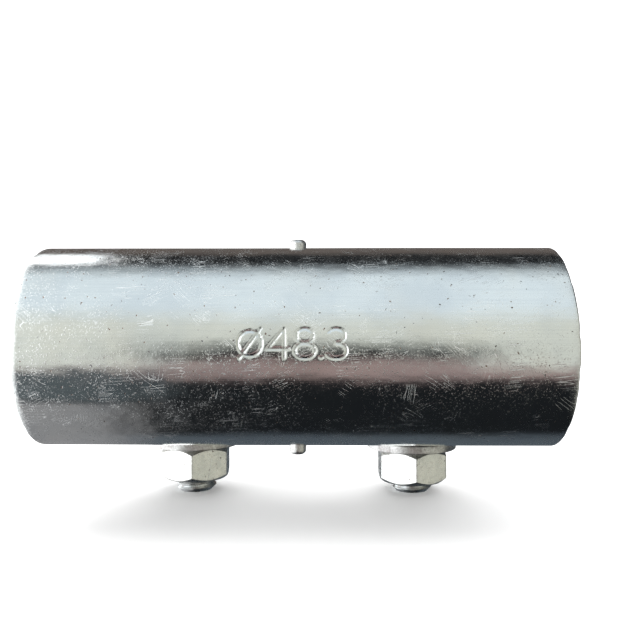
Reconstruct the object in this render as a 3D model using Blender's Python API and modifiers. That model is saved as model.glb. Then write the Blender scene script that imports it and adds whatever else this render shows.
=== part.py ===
"""Pressed-steel sleeve coupler for two scaffold tubes laid end to end.

The tube axis is the X axis, +Y points to the back of the coupler and +Z points up. The origin lies on the
tube axis in the middle of the sleeve. A front shell wraps round the tubes and runs back along the bottom
into two slotted ears. A rear shell hangs from a hinge at the top of the back, and two of its tabs are bent
out as shelves that carry the cross heads of two T-bolts. A washer and a nut on each bolt stand under the
ears. A stop pin crosses the middle of the bore. Lengths are in metres.
"""

import math

import bmesh
import bpy
from mathutils import Matrix, Vector

# The sleeve
LENGTH = 0.142
BORE_RADIUS = 0.0245
WALL = 0.0035
SEAM_SETBACK = 0.0065  # how far the plain bottom edge runs past the lowest line
LOBE_END = math.radians(-62)  # lower edge of the rear shell, from the back round to the bottom
TAB_START = math.radians(14)  # where the tabs leave the round of the rear shell

# The hinge
HINGE_ANGLE = math.radians(46)
KNUCKLE_COUNT = 5
KNUCKLE_RADIUS = 0.0056
KNUCKLE_GAP = 0.0005
KNUCKLE_INSET = 0.0002
KNUCKLE_CLEARANCE = 0.0012
KNUCKLE_HOLD = 0.42  # share of the way to the clear wall at which the plate starts inside its knuckle
BORE_SKIN = 0.0001  # least distance of a knuckle outside the bore
PIN_RADIUS = 0.0025
PIN_CLEARANCE = 0.0003
PIN_RECESS = 0.0004

# The ears and tabs
BOLT_SPACING = 0.0746
BOLT_BEHIND = 0.042
EAR_WIDTH = 0.034
EAR_DROP = 0.0026  # joggle of the ear below the bottom of the sleeve
EAR_JOGGLE = 0.024
JOGGLE_STEPS = 5
EAR_PAST_BOLT = 0.0035
TAB_RELIEF = 0.001
TAB_BEND = 0.005
LIP_BEND = 0.0035
LIP_HEIGHT = 0.0085
LIP_CLEARANCE = 0.0009
SLOT_CLEARANCE = 0.00085

# The bolts, washers and nuts
BOLT_RADIUS = 0.0069
SHANK_INTO_HEAD = 0.0023
HEAD_LENGTH = 0.032
HEAD_FLAT = 0.0045
HEAD_UNDERSIZE = 0.000007  # keeps the head off the shank's own faces
BOLT_PAST_NUT = 0.0044
BOLT_CHAMFER = 0.0014
WASHER_RADIUS = 0.01525
WASHER_THICKNESS = 0.003
WASHER_SLACK = 0.0022  # room left between ear and washer on the left bolt
RIGHT_EXTRA_SLACK = 0.0009  # the right nut is run down a little further
NUT_ACROSS_FLATS = 0.022
NUT_HEIGHT = 0.011
NUT_FACE_RADIUS = 0.01045
NUT_CHAMFER = math.radians(38.7)
NUT_BLANK_PROUD = 0.0000006  # keeps the blank off the nut's own faces
LEFT_NUT_TURN = math.radians(4)
RIGHT_NUT_TURN = math.radians(1.5)
THREAD_CLEARANCE = 0.0003

# The centre stop
STOP_RADIUS = 0.004
STOP_NIB_RADIUS = 0.0024
STOP_NIB_TOP = 0.0024
STOP_NIB_BOTTOM = 0.0029
STOP_CHAMFER = 0.0007
STOP_CLEARANCE = 0.0003

TOUCH = 0.0003  # gap kept between pieces that rest on each other
ARC_STEP = math.radians(5)
ROUND_SEGMENTS = 32
SMALL_SEGMENTS = 20
KNUCKLE_SEGMENTS = 24
NUT_SEGMENTS = 48
SEAM_MERGE = 0.000005
POINT_MERGE = 0.000001
SHARP_ANGLE = math.radians(35)
PART_NAME = "sleeve_coupler"

MID_RADIUS = BORE_RADIUS + WALL / 2
HINGE_RADIUS = BORE_RADIUS + KNUCKLE_RADIUS + BORE_SKIN
HINGE_Y = HINGE_RADIUS * math.cos(HINGE_ANGLE)
HINGE_Z = HINGE_RADIUS * math.sin(HINGE_ANGLE)
EAR_MID_Z = -MID_RADIUS - EAR_DROP
EAR_UNDER_Z = EAR_MID_Z - WALL / 2
EAR_END_Y = BOLT_BEHIND + EAR_PAST_BOLT
SHELF_MID_Z = MID_RADIUS * math.sin(TAB_START) + TAB_BEND * (math.sin(TAB_START) - 1)
SHELF_START_Y = (MID_RADIUS + TAB_BEND) * math.cos(TAB_START)
LIP_MID_Y = BOLT_BEHIND + BOLT_RADIUS + LIP_CLEARANCE + WALL / 2
HEAD_Z = SHELF_MID_Z + WALL / 2 + TOUCH + BOLT_RADIUS
WASHER_TOP_Z = EAR_UNDER_Z - WASHER_SLACK
BOLT_END_Z = WASHER_TOP_Z - WASHER_THICKNESS - TOUCH - NUT_HEIGHT - BOLT_PAST_NUT
SIDES = (("left", -BOLT_SPACING / 2), ("right", BOLT_SPACING / 2))


def clear_scene():
    """Remove whatever the file starts with."""
    for obj in list(bpy.data.objects):
        bpy.data.objects.remove(obj, do_unlink=True)


def new_collection(name):
    """Add a collection to the scene."""
    collection = bpy.data.collections.new(name)
    bpy.context.scene.collection.children.link(collection)
    return collection


def steel(name, colour, roughness):
    """Make a plated-steel material."""
    material = bpy.data.materials.new(name)
    material.use_nodes = True
    shader = material.node_tree.nodes["Principled BSDF"]
    shader.inputs["Base Color"].default_value = (*colour, 1)
    shader.inputs["Metallic"].default_value = 1
    shader.inputs["Roughness"].default_value = roughness
    return material


def add_object(name, bm, collection, material=None):
    """Turn a bmesh into a named object in a collection."""
    mesh = bpy.data.meshes.new(name)
    bm.to_mesh(mesh)
    bm.free()
    obj = bpy.data.objects.new(name, mesh)
    collection.objects.link(obj)
    if material:
        mesh.materials.append(material)
    return obj


def shade(obj):
    """Shade round faces smooth and keep the pressed corners crisp."""
    obj.data.shade_smooth()
    obj.data.set_sharp_from_angle(angle=SHARP_ANGLE)


def move_origin(obj, origin):
    """Put the object's origin at a point without moving its shape."""
    obj.data.transform(Matrix.Translation(-Vector(origin)))
    obj.location = origin


def make_cutter(obj):
    """Keep a helper shape out of the model."""
    obj.hide_render = True
    obj.display_type = "WIRE"
    return obj


def boolean(obj, tool, operation):
    """Cut or join another closed shape."""
    modifier = obj.modifiers.new(f"{operation.lower()}_{tool.name}", "BOOLEAN")
    modifier.object = tool
    modifier.operation = operation
    modifier.solver = "EXACT"


def box(name, low, high, collection):
    """A box between two corners."""
    bm = bmesh.new()
    bmesh.ops.create_cube(bm, size=1)
    size = [b - a for a, b in zip(low, high)]
    middle = [(a + b) / 2 for a, b in zip(low, high)]
    bmesh.ops.scale(bm, vec=size, verts=bm.verts)
    bmesh.ops.translate(bm, vec=middle, verts=bm.verts)
    return make_cutter(add_object(name, bm, collection))


def rod(name, start, end, radius, collection, segments=ROUND_SEGMENTS):
    """A closed cylinder between two points."""
    start = Vector(start)
    end = Vector(end)
    bm = bmesh.new()
    bmesh.ops.create_cone(
        bm, cap_ends=True, segments=segments, radius1=radius, radius2=radius, depth=(end - start).length
    )
    turn = Vector((0, 0, 1)).rotation_difference(end - start).to_matrix().to_4x4()
    bmesh.ops.transform(bm, matrix=Matrix.Translation((start + end) / 2) @ turn, verts=bm.verts)
    return add_object(name, bm, collection)


def drill(name, start, end, radius, collection, segments=ROUND_SEGMENTS):
    """A cylinder that only cuts or joins."""
    return make_cutter(rod(name, start, end, radius, collection, segments))


def turned(name, profile, centre, collection, segments=ROUND_SEGMENTS):
    """A body turned about a vertical axis from (radius, height) points, top to bottom."""
    mesh = bpy.data.meshes.new(name)
    points = [(radius, 0, height) for radius, height in profile]
    mesh.from_pydata(points, [(i, i + 1) for i in range(len(points) - 1)], [])
    obj = bpy.data.objects.new(name, mesh)
    obj.location = centre
    collection.objects.link(obj)
    screw = obj.modifiers.new("turn", "SCREW")
    screw.steps = segments
    screw.render_steps = segments
    screw.use_merge_vertices = True
    screw.merge_threshold = POINT_MERGE
    return obj


def arc(first, last):
    """Angles from first to last, no further apart than the arc step."""
    count = max(2, math.ceil(abs(last - first) / ARC_STEP))
    return [first + (last - first) * i / count for i in range(count + 1)]


def on_sleeve(angle):
    """The point of the sleeve's mid-surface at an angle from +Y towards +Z, as (y, z)."""
    return (MID_RADIUS * math.cos(angle), MID_RADIUS * math.sin(angle))


def wall_angle(distance):
    """The angle from the hinge at which the whole wall is this far from the hinge axis."""
    outer = BORE_RADIUS + WALL
    cosine = (outer**2 + HINGE_RADIUS**2 - distance**2) / (2 * outer * HINGE_RADIUS)
    return math.acos(cosine)


def knuckle_spans():
    """(start, end) along X of every knuckle, left to right."""
    width = (LENGTH - (KNUCKLE_COUNT - 1) * KNUCKLE_GAP) / KNUCKLE_COUNT
    starts = [-LENGTH / 2 + i * (width + KNUCKLE_GAP) for i in range(KNUCKLE_COUNT)]
    return [(start, start + width) for start in starts]


def pressed_sheet(name, bands, collection, material):
    """A pressed plate: each (x0, x1, path) band follows its own path, and equal points are shared."""
    bm = bmesh.new()
    for x0, x1, path in bands:
        near = [bm.verts.new((x0, y, z)) for y, z in path]
        far = [bm.verts.new((x1, y, z)) for y, z in path]
        for i in range(len(path) - 1):
            bm.faces.new((near[i], near[i + 1], far[i + 1], far[i]))
    bmesh.ops.remove_doubles(bm, verts=bm.verts, dist=SEAM_MERGE)
    plate = add_object(name, bm, collection, material)
    solid = plate.modifiers.new("wall", "SOLIDIFY")
    solid.thickness = WALL
    solid.offset = 0
    solid.use_even_offset = True
    return plate


def split_bands(breaks, path_at):
    """Bands between neighbouring break points, each with the path that path_at gives at its middle."""
    places = sorted(set(round(x, 7) for x in breaks))
    bands = []
    for x0, x1 in zip(places, places[1:]):
        path = path_at((x0 + x1) / 2)
        if path:
            bands.append((x0, x1, path))
    return bands


def within_bolt_band(x, half_width):
    """Whether x lies beside one of the bolts."""
    return abs(abs(x) - BOLT_SPACING / 2) < half_width


def joggle(y):
    """Mid-surface height of the ear: a smooth step down from the bottom of the sleeve."""
    share = min(y / EAR_JOGGLE, 1)
    return -MID_RADIUS - EAR_DROP * share * share * (3 - 2 * share)


def front_path(x):
    """The front shell's section at x: hinge, over the top, down the front and along the bottom."""
    clear = HINGE_ANGLE + wall_angle(KNUCKLE_RADIUS + KNUCKLE_CLEARANCE)
    held = HINGE_ANGLE + wall_angle(KNUCKLE_RADIUS + KNUCKLE_CLEARANCE) * KNUCKLE_HOLD
    own = any(start < x < end for start, end in knuckle_spans()[0::2])
    angles = arc(held, clear)[:-1] if own else []
    path = [on_sleeve(angle) for angle in angles + arc(clear, math.radians(270))]
    path.append((SEAM_SETBACK, joggle(SEAM_SETBACK)))
    if within_bolt_band(x, EAR_WIDTH / 2):
        steps = [SEAM_SETBACK + (EAR_JOGGLE - SEAM_SETBACK) * i / JOGGLE_STEPS for i in range(1, JOGGLE_STEPS + 1)]
        path += [(y, joggle(y)) for y in steps]
        path.append((EAR_END_Y, EAR_MID_Z))
    return path


def tab_path():
    """A tab's section past the round: out along the shelf and up into the lip."""
    centre_y = SHELF_START_Y
    centre_z = SHELF_MID_Z + TAB_BEND
    bend = arc(math.pi + TAB_START, math.radians(270))[1:]
    path = [(centre_y + TAB_BEND * math.cos(a), centre_z + TAB_BEND * math.sin(a)) for a in bend]
    lip_y = LIP_MID_Y - LIP_BEND
    lip_z = SHELF_MID_Z + LIP_BEND
    turn = arc(math.radians(-90), 0)
    path += [(lip_y + LIP_BEND * math.cos(a), lip_z + LIP_BEND * math.sin(a)) for a in turn]
    path.append((LIP_MID_Y, SHELF_MID_Z + LIP_HEIGHT))
    return path


def rear_path(x):
    """The rear shell's section at x: from the hinge down the back, then a lobe, a tab or a relief cut."""
    clear = HINGE_ANGLE - wall_angle(KNUCKLE_RADIUS + KNUCKLE_CLEARANCE)
    held = HINGE_ANGLE - wall_angle(KNUCKLE_RADIUS + KNUCKLE_CLEARANCE) * KNUCKLE_HOLD
    own = any(start < x < end for start, end in knuckle_spans()[1::2])
    angles = arc(held, clear)[:-1] if own else []
    path = [on_sleeve(angle) for angle in angles + arc(clear, TAB_START)]
    if within_bolt_band(x, EAR_WIDTH / 2):
        return path + tab_path()
    if within_bolt_band(x, EAR_WIDTH / 2 + TAB_RELIEF):
        return path
    return path + [on_sleeve(angle) for angle in arc(TAB_START, LOBE_END)[1:]]


def cut_slots(shell, name, mid_z, end_y, tools):
    """Open a slot for each bolt, from a round seat at its axis out to the back."""
    half = BOLT_RADIUS + SLOT_CLEARANCE
    low = mid_z - 2 * WALL
    high = mid_z + 4 * WALL
    for side, x in SIDES:
        seat = drill(f"{name}_seat_{side}", (x, BOLT_BEHIND, low), (x, BOLT_BEHIND, high), half, tools)
        slot = box(
            f"{name}_slot_{side}", (x - half, BOLT_BEHIND, low - WALL), (x + half, end_y + WALL, high + WALL), tools
        )
        boolean(seat, slot, "UNION")
        boolean(shell, seat, "DIFFERENCE")


def add_knuckles(shell, spans, name, tools):
    """Roll the plate round the hinge axis at each span, and bore it for the pin."""
    for i, (start, end) in enumerate(spans):
        ends = ((start + KNUCKLE_INSET, HINGE_Y, HINGE_Z), (end - KNUCKLE_INSET, HINGE_Y, HINGE_Z))
        knuckle = drill(f"{name}_knuckle_{i + 1}", *ends, KNUCKLE_RADIUS, tools, KNUCKLE_SEGMENTS)
        boolean(shell, knuckle, "UNION")
    far = LENGTH / 2 + WALL
    bore = drill(
        f"{name}_hinge_bore",
        (-far, HINGE_Y, HINGE_Z),
        (far, HINGE_Y, HINGE_Z),
        PIN_RADIUS + PIN_CLEARANCE,
        tools,
        SMALL_SEGMENTS,
    )
    boolean(shell, bore, "DIFFERENCE")


def build_front_shell(parts, tools, material):
    """The front shell with its ears, knuckles and the two holes of the centre stop."""
    spans = knuckle_spans()
    breaks = [x for span in spans[0::2] for x in span]
    breaks += [side * BOLT_SPACING / 2 + edge * EAR_WIDTH / 2 for side in (-1, 1) for edge in (-1, 1)]
    shell = pressed_sheet("front_shell", split_bands(breaks, front_path), parts, material)
    add_knuckles(shell, spans[0::2], "front", tools)
    cut_slots(shell, "ear", EAR_MID_Z, EAR_END_Y, tools)
    far = BORE_RADIUS + 2 * WALL
    hole = drill("stop_hole", (0, 0, -far), (0, 0, far), STOP_NIB_RADIUS + STOP_CLEARANCE, tools, SMALL_SEGMENTS)
    boolean(shell, hole, "DIFFERENCE")
    shade(shell)
    return shell


def build_rear_shell(parts, tools, material):
    """The rear shell with its lobes, shelf tabs and knuckles, its origin on the hinge axis."""
    spans = knuckle_spans()
    breaks = [-LENGTH / 2, LENGTH / 2]
    breaks += [x for span in spans[1::2] for x in span]
    for side in (-1, 1):
        for edge in (-1, 1):
            breaks.append(side * BOLT_SPACING / 2 + edge * EAR_WIDTH / 2)
            breaks.append(side * BOLT_SPACING / 2 + edge * (EAR_WIDTH / 2 + TAB_RELIEF))
    shell = pressed_sheet("rear_shell", split_bands(breaks, rear_path), parts, material)
    move_origin(shell, (0, HINGE_Y, HINGE_Z))
    add_knuckles(shell, spans[1::2], "rear", tools)
    cut_slots(shell, "shelf", SHELF_MID_Z, LIP_MID_Y + WALL, tools)
    shade(shell)
    return shell


def build_hinge_pin(parts, material):
    """The long pin through all the knuckles."""
    end = LENGTH / 2 - PIN_RECESS
    pin = rod("hinge_pin", (-end, HINGE_Y, HINGE_Z), (end, HINGE_Y, HINGE_Z), PIN_RADIUS, parts, SMALL_SEGMENTS)
    pin.data.materials.append(material)
    shade(pin)


def build_centre_stop(parts, material):
    """The upright stop, its shoulders inside the bore and a nib through each hole."""
    shoulder = math.sqrt(BORE_RADIUS**2 - STOP_RADIUS**2) - TOUCH
    top = BORE_RADIUS + WALL + STOP_NIB_TOP
    bottom = -BORE_RADIUS - WALL - STOP_NIB_BOTTOM
    profile = [
        (0, top),
        (STOP_NIB_RADIUS - STOP_CHAMFER, top),
        (STOP_NIB_RADIUS, top - STOP_CHAMFER),
        (STOP_NIB_RADIUS, shoulder),
        (STOP_RADIUS, shoulder),
        (STOP_RADIUS, -shoulder),
        (STOP_NIB_RADIUS, -shoulder),
        (STOP_NIB_RADIUS, bottom + STOP_CHAMFER),
        (STOP_NIB_RADIUS - STOP_CHAMFER, bottom),
        (0, bottom),
    ]
    stop = turned("centre_stop", profile, (0, 0, 0), parts, SMALL_SEGMENTS)
    stop.data.materials.append(material)
    shade(stop)


def build_t_bolt(side, x, parts, tools, material):
    """A bolt hanging from its cross head, its origin on the head's axis."""
    profile = [
        (0, SHANK_INTO_HEAD),
        (BOLT_RADIUS, SHANK_INTO_HEAD),
        (BOLT_RADIUS, BOLT_END_Z - HEAD_Z + BOLT_CHAMFER),
        (BOLT_RADIUS - BOLT_CHAMFER, BOLT_END_Z - HEAD_Z),
        (0, BOLT_END_Z - HEAD_Z),
    ]
    bolt = turned(f"t_bolt_{side}", profile, (x, BOLT_BEHIND, HEAD_Z), parts)
    bolt.data.materials.append(material)
    half = HEAD_LENGTH / 2
    ends = ((x - half, BOLT_BEHIND, HEAD_Z), (x + half, BOLT_BEHIND, HEAD_Z))
    head = drill(f"cross_head_{side}", *ends, BOLT_RADIUS - HEAD_UNDERSIZE, tools)
    flat = box(
        f"head_flat_{side}",
        (x - HEAD_LENGTH, BOLT_BEHIND - 2 * BOLT_RADIUS, HEAD_Z + HEAD_FLAT),
        (x + HEAD_LENGTH, BOLT_BEHIND + 2 * BOLT_RADIUS, HEAD_Z + 2 * BOLT_RADIUS),
        tools,
    )
    boolean(head, flat, "DIFFERENCE")
    boolean(bolt, head, "UNION")
    shade(bolt)
    return bolt


def build_washer(side, x, drop, parts, material):
    """A plate washer on the bolt."""
    inner = BOLT_RADIUS + THREAD_CLEARANCE
    profile = [
        (inner, 0),
        (WASHER_RADIUS, 0),
        (WASHER_RADIUS, -WASHER_THICKNESS),
        (inner, -WASHER_THICKNESS),
        (inner, 0),
    ]
    washer = turned(f"washer_{side}", profile, (x, BOLT_BEHIND, WASHER_TOP_Z - drop), parts)
    weld = washer.modifiers.new("close", "WELD")
    weld.merge_threshold = POINT_MERGE
    washer.data.materials.append(material)
    shade(washer)
    return washer


def build_nut(side, x, drop, turn, parts, tools, material):
    """A hexagon nut, chamfered on both faces, with one corner turned from the front by an angle."""
    corner = NUT_ACROSS_FLATS / 2 / math.cos(math.radians(30))
    top = WASHER_TOP_Z - drop - WASHER_THICKNESS - TOUCH
    centre = Vector((x, BOLT_BEHIND, top - NUT_HEIGHT / 2))
    bm = bmesh.new()
    bmesh.ops.create_cone(
        bm, cap_ends=True, segments=6, radius1=corner, radius2=corner, depth=NUT_HEIGHT
    )
    first = next(iter(bm.verts)).co
    corner_now = math.atan2(first.y, first.x)
    spin = math.radians(-90) + turn - corner_now
    bmesh.ops.rotate(bm, matrix=Matrix.Rotation(spin, 3, "Z"), verts=bm.verts)
    nut = add_object(f"nut_{side}", bm, parts, material)
    nut.location = centre
    reach = NUT_ACROSS_FLATS / math.sqrt(2)  # outside the corners
    fall = (reach - NUT_FACE_RADIUS) * math.tan(NUT_CHAMFER)
    half = NUT_HEIGHT / 2 + NUT_BLANK_PROUD
    profile = [
        (0, half),
        (NUT_FACE_RADIUS, half),
        (reach, half - fall),
        (reach, fall - half),
        (NUT_FACE_RADIUS, -half),
        (0, -half),
    ]
    blank = make_cutter(turned(f"nut_blank_{side}", profile, centre, tools, NUT_SEGMENTS))
    bore_ends = (centre + Vector((0, 0, NUT_HEIGHT)), centre - Vector((0, 0, NUT_HEIGHT)))
    bore = drill(f"nut_bore_{side}", *bore_ends, BOLT_RADIUS + THREAD_CLEARANCE, tools)
    boolean(nut, blank, "INTERSECT")
    boolean(nut, bore, "DIFFERENCE")
    shade(nut)
    return nut


def hang(child, parent):
    """Parent one piece to another and leave it where it is."""
    bpy.context.view_layer.update()
    child.parent = parent
    child.matrix_parent_inverse = parent.matrix_world.inverted()


def main():
    """Build every piece and hang the moving ones on what carries them."""
    clear_scene()
    parts = new_collection(PART_NAME)
    tools = new_collection(f"{PART_NAME}_cutters")
    bright = steel("zinc_plated_shell", (0.72, 0.73, 0.72), 0.28)
    plain = steel("zinc_plated_fastener", (0.66, 0.68, 0.68), 0.35)
    raw = steel("plain_steel_pin", (0.45, 0.45, 0.46), 0.4)
    build_front_shell(parts, tools, bright)
    rear = build_rear_shell(parts, tools, bright)
    build_hinge_pin(parts, raw)
    build_centre_stop(parts, raw)
    drops = {"left": 0, "right": RIGHT_EXTRA_SLACK}
    turns = {"left": LEFT_NUT_TURN, "right": RIGHT_NUT_TURN}
    for side, x in SIDES:
        bolt = build_t_bolt(side, x, parts, tools, plain)
        washer = build_washer(side, x, drops[side], parts, plain)
        nut = build_nut(side, x, drops[side], turns[side], parts, tools, plain)
        hang(bolt, rear)
        hang(washer, bolt)
        hang(nut, washer)


main()
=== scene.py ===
"""Looks of a pressed-steel sleeve coupler: plated shells, bolts, washers, nuts, stop and pin in a studio.

The tube axis is X, +Y is the back and +Z is up. Shapes are worked out as whole arrays, in metres, round the
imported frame, and every piece takes the place of its plain solid.
"""

import logging
import math
from dataclasses import dataclass, field
from enum import Enum

import bpy
import numpy as np
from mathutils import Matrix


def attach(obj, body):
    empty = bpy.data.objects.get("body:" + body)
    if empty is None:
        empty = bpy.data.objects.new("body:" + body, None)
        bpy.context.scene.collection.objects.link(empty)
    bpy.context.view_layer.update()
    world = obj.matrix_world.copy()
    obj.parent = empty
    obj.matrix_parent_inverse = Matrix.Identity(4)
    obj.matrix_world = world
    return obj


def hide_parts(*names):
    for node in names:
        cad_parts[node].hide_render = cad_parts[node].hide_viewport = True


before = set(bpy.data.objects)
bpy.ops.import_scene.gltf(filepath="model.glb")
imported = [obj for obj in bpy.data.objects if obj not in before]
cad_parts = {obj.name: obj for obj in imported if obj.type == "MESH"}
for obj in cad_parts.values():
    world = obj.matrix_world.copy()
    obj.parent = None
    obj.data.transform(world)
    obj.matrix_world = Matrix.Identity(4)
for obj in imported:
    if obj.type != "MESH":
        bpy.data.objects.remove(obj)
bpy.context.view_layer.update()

log = logging.getLogger("coupler")
MM = 0.001
ROUNDING_STEPS = 1 - np.cos(np.linspace(0, math.pi / 2, 5))


class Side(Enum):
    """The two bolts' sides, by the sign of X."""

    LEFT = -1
    RIGHT = 1

    @property
    def word(self) -> str:
        """The side as it stands in the names of nodes and bodies."""
        return self.name.lower()


class Layout(Enum):
    """What a finish's pattern lies on."""

    SHEET = "sheet map"
    SOLID = "solid"


def smooth(share: np.ndarray) -> np.ndarray:
    """Smooth step: 3t^2 - 2t^3 of the share t held between 0 and 1."""
    t = np.clip(share, 0, 1)
    return t * t * (3 - 2 * t)


def lines(fixed: list[float], spans: list[tuple[float, float, float]], gap: float) -> np.ndarray:
    """Grid lines: every fixed one, and fillers no nearer than a gap to another line.

    Args:
        fixed: Places that must have a line.
        spans: (start, end, step) of each stretch of fillers.
        gap: Least distance between a filler and the next line.

    Returns:
        The sorted places.
    """
    kept = sorted(set(np.round(fixed, 8)))
    for start, end, step in spans:
        count = max(1, round((end - start) / step))
        for place in np.linspace(start, end, count + 1):
            if np.min(np.abs(np.array(kept) - place)) > min(gap, step * 0.6):
                kept.append(place)
    return np.array(sorted(kept))


def inward(edge: float, direction: int, rounding: float) -> list[float]:
    """Lines that follow a rounded edge: the edge plus rounding times 1 - cos of even angles."""
    return list(edge + direction * rounding * ROUNDING_STEPS)


def outside_box(
    x: np.ndarray, s: np.ndarray, low: tuple[float, float], high: tuple[float, float]
) -> np.ndarray:
    """Distance of points on the sheet to a rectangle: the length of (dx, ds) past its nearest sides.

    Args:
        x: The points along X.
        s: The points down the sheet.
        low: The rectangle's low corner.
        high: Its high corner.

    Returns:
        The distances, 0 inside.
    """
    dx = np.maximum(np.maximum(low[0] - x, x - high[0]), 0)
    ds = np.maximum(np.maximum(low[1] - s, s - high[1]), 0)
    return np.hypot(dx, ds)


@dataclass(frozen=True)
class Mesh:
    """A closed surface as arrays, ready to become an object."""

    points: np.ndarray
    faces: list
    attributes: dict
    uv: np.ndarray | None = None

    def volume(self) -> float:
        """Signed volume: a sixth of the sum of a . (b x c) over each face's fan of triangles.

        Returns:
            The volume in cubic metres, positive where the faces point outwards.
        """
        total = 0.0
        for block in self.faces:
            a = self.points[block[:, 0]]
            for i in range(1, block.shape[1] - 1):
                b = self.points[block[:, i]]
                c = self.points[block[:, i + 1]]
                total += float(np.einsum("ij,ij->", a, np.cross(b, c)))
        return total / 6

    def make(self, name: str, sharp: float = 38.0) -> bpy.types.Object:
        """Put the arrays into a mesh object whose faces point outwards.

        Args:
            name: Name of the piece.
            sharp: Angle in degrees above which an edge stays crisp.

        Returns:
            The new object, at the origin.
        """
        turned = self.volume() < 0
        rows = []
        for block in self.faces:
            rows += (block[:, ::-1] if turned else block).tolist()
        mesh = bpy.data.meshes.new(name)
        mesh.from_pydata(self.points.tolist(), [], rows)
        for key, values in self.attributes.items():
            layer = mesh.attributes.new(key, "FLOAT", "POINT")
            layer.data.foreach_set("value", np.clip(values, 0, 1).astype(np.float32))
        if self.uv is not None:
            corner = np.empty(len(mesh.loops), dtype=np.int32)
            mesh.loops.foreach_get("vertex_index", corner)
            sheet_map = mesh.uv_layers.new(name="sheet")
            sheet_map.uv.foreach_set("vector", self.uv[corner].astype(np.float32).ravel())
        mesh.shade_smooth()
        mesh.set_sharp_from_angle(angle=math.radians(sharp))
        obj = bpy.data.objects.new(name, mesh)
        bpy.context.scene.collection.objects.link(obj)
        return obj


def ring_surface(points: np.ndarray, edge: np.ndarray, looped: bool) -> Mesh:
    """Close a grid of rings into a surface.

    Args:
        points: Rings by columns by xyz; the columns always run round and meet.
        edge: Wear share of each grid point.
        looped: True joins the last ring to the first, False closes both ends with a pole.

    Returns:
        The closed surface.
    """
    rings, columns = points.shape[:2]
    index = np.arange(rings * columns).reshape(rings, columns)
    ahead = np.roll(index, -1, axis=1)
    flat = points.reshape(-1, 3)
    worn = edge.reshape(-1)
    if looped:
        below = np.roll(index, -1, axis=0)
        below_ahead = np.roll(below, -1, axis=1)
        quads = np.stack([index, ahead, below_ahead, below], axis=-1).reshape(-1, 4)
        return Mesh(flat, [quads], {"edge": worn})
    quads = np.stack([index[:-1], ahead[:-1], ahead[1:], index[1:]], axis=-1).reshape(-1, 4)
    poles = np.stack([points[0].mean(axis=0), points[-1].mean(axis=0)])
    first = np.full(columns, rings * columns)
    top = np.stack([first, ahead[0], index[0]], axis=-1)
    bottom = np.stack([first + 1, index[-1], ahead[-1]], axis=-1)
    return Mesh(np.vstack([flat, poles]), [quads, top, bottom], {"edge": np.append(worn, [0, 0])})


def rounded_profile(corners: list[tuple[float, float]], radius: float, closed: bool) -> tuple:
    """Round the corners of a profile: each corner becomes a quadratic curve between points a radius away.

    Args:
        corners: (radius, height) corner points in order.
        radius: Distance from a corner at which its curve starts.
        closed: True for a loop, False for an open profile, whose two ends stay put.

    Returns:
        Two arrays: the (radius, height) points, and each point's nearness to a corner.
    """
    pts = np.array(corners, dtype=float)
    count = len(pts)
    out = []
    near = []
    for i in range(count):
        if not closed and i in (0, count - 1):
            out.append(pts[i])
            near.append(0.0)
            continue
        before = pts[i - 1] - pts[i]
        after = pts[(i + 1) % count] - pts[i]
        start = pts[i] + before * min(0.45, radius / np.linalg.norm(before))
        end = pts[i] + after * min(0.45, radius / np.linalg.norm(after))
        for t in np.linspace(0, 1, 5):
            out.append((1 - t) ** 2 * start + 2 * t * (1 - t) * pts[i] + t * t * end)
            near.append(1.0)
    return np.array(out), np.array(near)


@dataclass(frozen=True)
class PlatePath:
    """The mid-line of a pressed plate's section, sampled densely, with its normal and half thickness."""

    y: np.ndarray
    z: np.ndarray
    half: np.ndarray
    flip: float

    def length(self) -> np.ndarray:
        """Length run at each sample: the sum of the steps before it."""
        return np.concatenate([[0], np.cumsum(np.hypot(np.diff(self.y), np.diff(self.z)))])

    def at(self, s: np.ndarray) -> tuple:
        """Points, normals and half thickness at lengths s, between samples in proportion.

        Args:
            s: Lengths along the path.

        Returns:
            y, z, normal y, normal z and half thickness, each shaped as s.
        """
        run = self.length()
        ty = np.gradient(self.y, run)
        tz = np.gradient(self.z, run)
        size = np.hypot(ty, tz)
        ny = self.flip * tz / size
        nz = -self.flip * ty / size
        return tuple(np.interp(s, run, row) for row in (self.y, self.z, ny, nz, self.half))


def joined(*parts: tuple) -> tuple[np.ndarray, np.ndarray, np.ndarray]:
    """Join stretches end to end and drop the repeated points.

    Args:
        parts: Stretches of (y, z, half thickness).

    Returns:
        The whole run's y, z and half thickness.
    """
    y, z, half = (np.concatenate(rows) for rows in zip(*parts))
    keep = np.concatenate([[True], np.hypot(np.diff(y), np.diff(z)) > 1e-7])
    return y[keep], z[keep], half[keep]


def arc_points(
    centre: tuple[float, float],
    radius: tuple[float, float],
    first: float,
    last: float,
    half: tuple[float, float],
) -> tuple[np.ndarray, np.ndarray, np.ndarray]:
    """Points on an arc: the centre plus the radius times the cosine and sine of the angle.

    Args:
        centre: The arc's centre in Y and Z.
        radius: The radius at the start and at the end.
        first: The starting angle in degrees.
        last: The closing angle in degrees.
        half: The half thickness at the start and at the end.

    Returns:
        The points' y, z and half thickness.
    """
    angle = np.radians(np.linspace(first, last, max(40, int(abs(last - first) * 4))))
    share = np.linspace(0, 1, len(angle))
    r = radius[0] + (radius[1] - radius[0]) * smooth(share)
    h = half[0] + (half[1] - half[0]) * smooth(share)
    return centre[0] + r * np.cos(angle), centre[1] + r * np.sin(angle), h


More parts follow.
